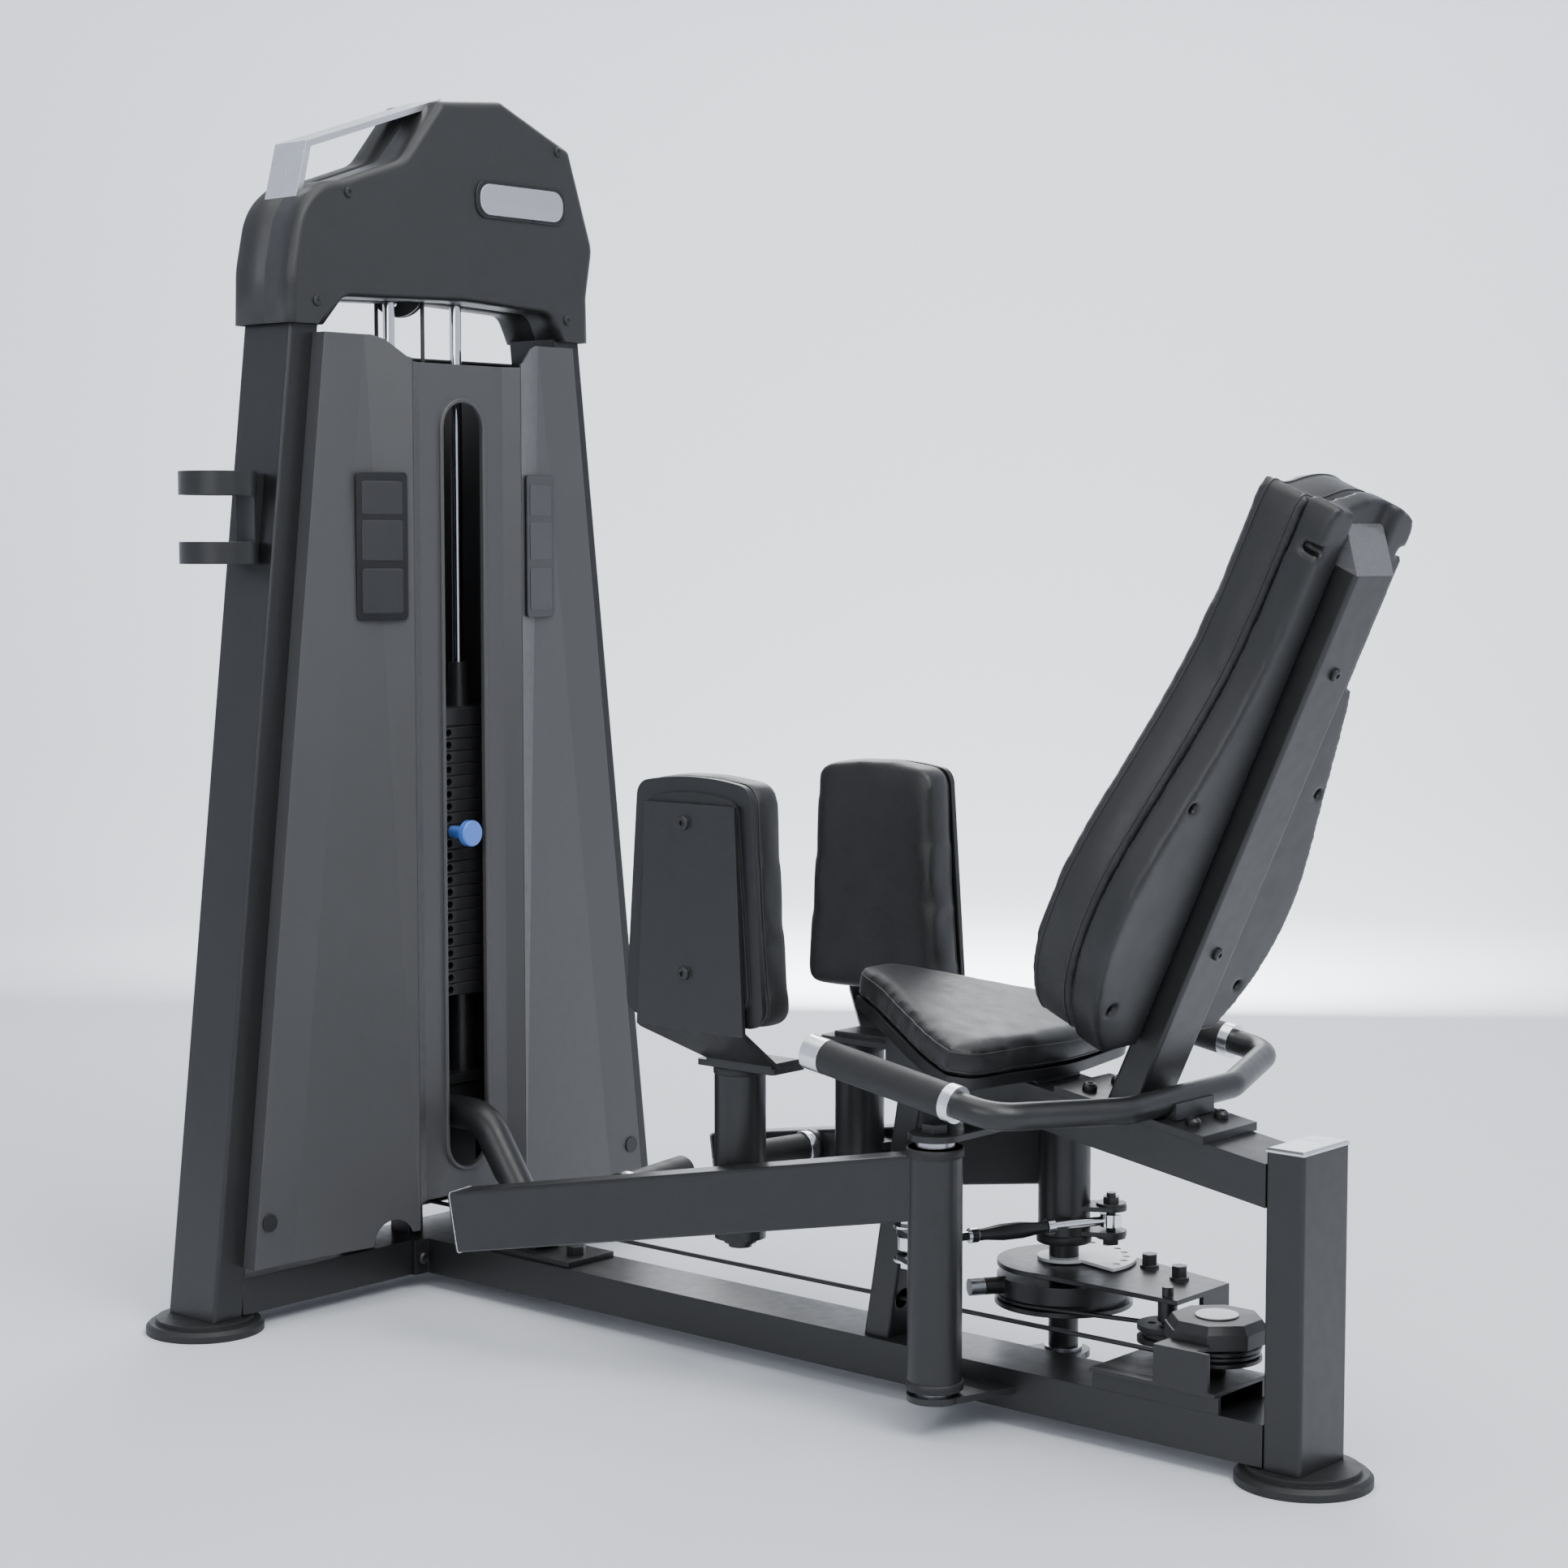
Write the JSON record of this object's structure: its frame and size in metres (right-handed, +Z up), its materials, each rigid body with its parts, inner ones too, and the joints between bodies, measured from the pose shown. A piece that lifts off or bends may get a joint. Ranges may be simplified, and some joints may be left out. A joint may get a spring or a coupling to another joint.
{
  "type": "hip abductor machine",
  "caption": "Selectorised hip abductor machine: weight tower, floor beam, seat with backrest and two swinging leg arms with thigh pads.",
  "frame": {"origin": "centre of the footprint on the floor", "axes": "+Z up, the weight tower at -X, the user faces -X, the user's left at -Y"},
  "size_m": [1.6495, 0.9756, 1.7117],
  "materials": {
    "frame": "matte powder coat",
    "cover": "satin",
    "shroud": "matte moulded",
    "leather": "fine grain",
    "board": "matte moulded",
    "rubber": "matte",
    "chrome": "polished",
    "steel": "brushed",
    "aluminium": "satin anodised",
    "iron": "black painted",
    "cable": "coated wire",
    "knob": "gloss",
    "label": "blank",
    "pulley": "nylon",
    "white": "gloss"
  },
  "bodies": {
    "frame": {"tower_columns": "frame", "floor_discs": "rubber", "tower_cross_members": "frame", "guide_rods": "chrome", "stack_bench": "frame", "resting_plates": "iron", "front_cover_wings": "cover", "front_panel": "cover", "rear_cover": "cover", "blank_plates": "label", "guard_tube": "frame", "cup_holder": "frame", "shroud_front": "shroud", "shroud_rear": "shroud", "carry_handle": "aluminium", "main_beam": "frame", "pulley_mounts": "frame", "big_pulley_cover": "shroud", "pivot_plates": "frame", "pivot_spindles": "steel", "frame_fasteners": "frame", "rear_post": "frame", "post_caps": "aluminium", "seat_beam": "frame", "seat_post": "frame", "seat_brackets": "frame", "seat_board": "board", "seat_cushion": "leather", "back_post": "frame", "back_shell": "board", "back_cushion": "leather", "handle_bar": "frame", "handle_grips": "rubber", "handle_collars": "aluminium", "floor_cable": "cable"},
    "weights": {"lifted_plates": "iron", "top_plate": "iron", "selector_stem": "steel", "lift_cable": "cable"},
    "selector": {"selector_pin": "steel", "selector_knob": "knob"},
    "left_leg": {"left_arm": "frame", "left_peg_grip": "rubber"},
    "right_leg": {"right_arm": "frame", "right_peg_grip": "rubber", "cam": "iron", "sector": "white"},
    "left_swivel": {"left_pad_swivel": "frame", "left_pad_board": "board", "left_pad_cushion": "leather"},
    "right_swivel": {"right_pad_swivel": "frame", "right_pad_board": "board", "right_pad_cushion": "leather"},
    "tie": {"tie_rod": "chrome", "turnbuckle": "frame"},
    "pop_pin": {"start_pin": "steel"},
    "tower_pulley_low": {"low_pulley": "pulley"},
    "tower_pulley_top": {"top_pulley": "pulley"},
    "saddle_pulley": {"big_pulley": "pulley"},
    "idler_pulley": {"small_pulley": "pulley"}
  },
  "joints": [
    {"name": "left_arm_swing", "type": "hinge", "parent": "frame", "child": "left_leg", "pos_m": [0.31, -0.133, 0.2], "axis": [0, 0, 1], "range_deg": [0, 50]},
    {"name": "right_arm_swing", "type": "hinge", "parent": "frame", "child": "right_leg", "pos_m": [0.31, 0.133, 0.2], "axis": [0, 0, -1], "range_deg": [0, 50]},
    {"name": "tie_rod_turn", "type": "hinge", "parent": "right_leg", "child": "tie", "pos_m": [0.36438, 0.15836, 0.221], "axis": [0, 0, 1], "range_deg": [0, 50]},
    {"name": "stack_lift", "type": "slide", "parent": "frame", "child": "weights", "axis": [0, 0, 1], "range_m": [0, 0.07262], "deforming": ["lift_cable"]},
    {"name": "selector_pull", "type": "slide", "parent": "weights", "child": "selector", "axis": [1, 0, 0], "range_m": [0, 0.1]},
    {"name": "left_pad_turn", "type": "hinge", "parent": "left_leg", "child": "left_swivel", "pos_m": [-0.0165, -0.1197, 0.3], "axis": [0, 0, 1], "range_deg": [-20, 20]},
    {"name": "right_pad_turn", "type": "hinge", "parent": "right_leg", "child": "right_swivel", "pos_m": [-0.0165, 0.1197, 0.3], "axis": [0, 0, -1], "range_deg": [-20, 20]},
    {"name": "start_pin_pull", "type": "slide", "parent": "right_leg", "child": "pop_pin", "axis": [-0.5358, -0.8443, 0], "range_m": [0, 0.012], "stiffness_N_per_m": 400},
    {"name": "low_pulley_spin", "type": "hinge", "parent": "frame", "child": "tower_pulley_low", "pos_m": [-0.7495, -0.034, 0.1675], "axis": [0.0137, -0.9999, 0], "range_deg": [0, 91.44]},
    {"name": "top_pulley_spin", "type": "hinge", "parent": "frame", "child": "tower_pulley_top", "pos_m": [-0.765, -0.01731, 1.438], "axis": [0.4998, -0.8661, 0], "range_deg": [0, 120.12]},
    {"name": "saddle_pulley_spin", "type": "hinge", "parent": "frame", "child": "saddle_pulley", "pos_m": [0.603, 0.034, 0.122], "axis": [0, 0, 1], "range_deg": [0, 84.05]},
    {"name": "idler_pulley_spin", "type": "hinge", "parent": "frame", "child": "idler_pulley", "pos_m": [0.515, 0.062, 0.122], "axis": [0, 0, 1], "range_deg": [0, 128.01]}
  ],
  "couplings": [
    {"joint": "right_arm_swing", "follows": "left_arm_swing", "ratio": 1},
    {"joint": "tie_rod_turn", "follows": "left_arm_swing", "ratio": 1},
    {"joint": "stack_lift", "follows": "left_arm_swing", "m_per_rad": 0.0832},
    {"joint": "low_pulley_spin", "follows": "left_arm_swing", "ratio": 1.8286},
    {"joint": "top_pulley_spin", "follows": "left_arm_swing", "ratio": 2.4022},
    {"joint": "saddle_pulley_spin", "follows": "left_arm_swing", "ratio": 1.6808},
    {"joint": "idler_pulley_spin", "follows": "left_arm_swing", "ratio": 2.56}
  ]
}
